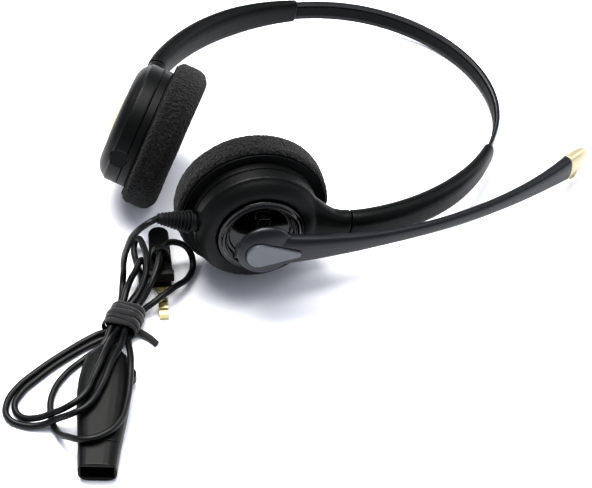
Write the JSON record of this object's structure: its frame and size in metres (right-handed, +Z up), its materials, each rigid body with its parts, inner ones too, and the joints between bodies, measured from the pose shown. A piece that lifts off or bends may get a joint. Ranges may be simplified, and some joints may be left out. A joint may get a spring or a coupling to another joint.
{
  "type": "telephone headset",
  "caption": "Two-ear telephone headset with a telescoping spring band, foam cushions, a turning boom microphone and a tied cord with clip and plug.",
  "frame": {"origin": "bottom centre of the bounding box of the headset without its free cord, on the plane it lies on", "axes": "+X along the longest extent, towards the microphone tip; +Y towards the crown of the band; +Z up"},
  "size_m": [0.2157, 0.2421, 0.0575],
  "materials": {
    "satin_black_shell": "satin moulded ABS",
    "satin_blue_black": "satin moulded ABS",
    "gloss_black": "glossy moulded ABS",
    "black_baffle": "matt moulded ABS",
    "black_foam": "open-cell foam",
    "speaker_frame": "matt",
    "magnet_steel": "plain",
    "zinc_screw": "zinc plated",
    "stud_steel": "turned",
    "spring_steel": "plain",
    "black_rubber": "satin elastomer",
    "grey_medallion": "satin painted",
    "champagne_trim": "champagne paint",
    "painted_spring_band": "satin black paint",
    "cord_jacket": "satin PVC",
    "ribbon_tie": "woven ribbon",
    "nickel_jaw": "nickel and brass plate",
    "contact_plastic": "matt",
    "gold_contact": "gold plate"
  },
  "bodies": {
    "near_cup": {"near_outer_shell": "satin_black_shell", "near_inner_shell": "satin_black_shell", "near_baffle": "black_baffle", "near_ear_cushion": "black_foam", "near_speaker": "speaker_frame", "near_speaker_magnet": "magnet_steel", "near_casing_screws": "zinc_screw", "boom_detent_spring": "spring_steel", "strain_relief": "black_rubber", "cord": "cord_jacket", "cord_tie": "ribbon_tie", "clip_body": "satin_black_shell", "clip_pin": "stud_steel", "clip_spring": "spring_steel", "connector_rear_shell": "satin_black_shell", "connector_front_shell": "satin_black_shell", "contact_carrier": "contact_plastic", "connector_contacts": "gold_contact"},
    "clip_jaw": {"clip_jaw": "nickel_jaw"},
    "turret": {"turret_hub": "gloss_black", "turret_retainer": "black_baffle", "boom_pivot_pin": "stud_steel"},
    "boom": {"boom_arm": "satin_blue_black", "boom_medallion": "grey_medallion", "mic_tip_cover": "champagne_trim", "mic_capsule": "magnet_steel", "mic_port_ring": "champagne_trim"},
    "near_arm": {"near_arm_outer": "satin_black_shell", "near_arm_inner": "satin_black_shell", "near_swivel_stud": "stud_steel"},
    "band": {"headband": "painted_spring_band", "speaker_lead": "cord_jacket", "near_band_stop": "black_baffle", "far_band_stop": "black_baffle"},
    "far_arm": {"far_arm_outer": "satin_black_shell", "far_arm_inner": "satin_black_shell", "far_swivel_stud": "stud_steel"},
    "far_cup": {"far_outer_shell": "satin_black_shell", "far_inner_shell": "satin_black_shell", "far_baffle": "black_baffle", "far_ear_cushion": "black_foam", "far_speaker": "speaker_frame", "far_speaker_magnet": "magnet_steel", "far_casing_screws": "zinc_screw", "far_cap": "champagne_trim", "far_blank_plug": "satin_black_shell"}
  },
  "joints": [
    {"name": "boom_rotate", "type": "hinge", "parent": "near_cup", "child": "turret", "pos_m": [-0.0318, -0.06811, 0.03033], "axis": [0.2252, -0.9718, 0.0704], "range_deg": [-127, 123]},
    {"name": "boom_tilt", "type": "hinge", "parent": "turret", "child": "boom", "pos_m": [-0.03169, -0.0686, 0.03037], "axis": [0.1217, 0.0998, 0.9875], "range_deg": [-14, 2]},
    {"name": "near_swivel", "type": "hinge", "parent": "near_cup", "child": "near_arm", "pos_m": [0.00062, -0.05541, 0.02381], "axis": [0.9618, 0.2102, -0.1752], "range_deg": [-4, 12]},
    {"name": "near_extension", "type": "hinge", "parent": "near_arm", "child": "band", "pos_m": [-0.03074, 0.02996, 0.01946], "axis": [0.1554, 0.1072, 0.982], "range_deg": [-11, 1]},
    {"name": "far_extension", "type": "hinge", "parent": "band", "child": "far_arm", "pos_m": [0.01014, -0.00927, 0.01727], "axis": [0.1554, 0.1072, 0.982], "range_deg": [-8.5, 3.5]},
    {"name": "far_swivel", "type": "hinge", "parent": "far_arm", "child": "far_cup", "pos_m": [-0.07482, 0.02187, 0.02732], "axis": [0.2041, 0.9692, -0.1381], "range_deg": [-20, 3]},
    {"name": "clip_open", "type": "hinge", "parent": "near_cup", "child": "clip_jaw", "pos_m": [-0.06978, -0.05462, 0.0027], "axis": [0.9945, 0.1045, 0], "range_deg": [0, 8], "stiffness_Nm_per_rad": 0.02, "springref_deg": -5.73}
  ]
}
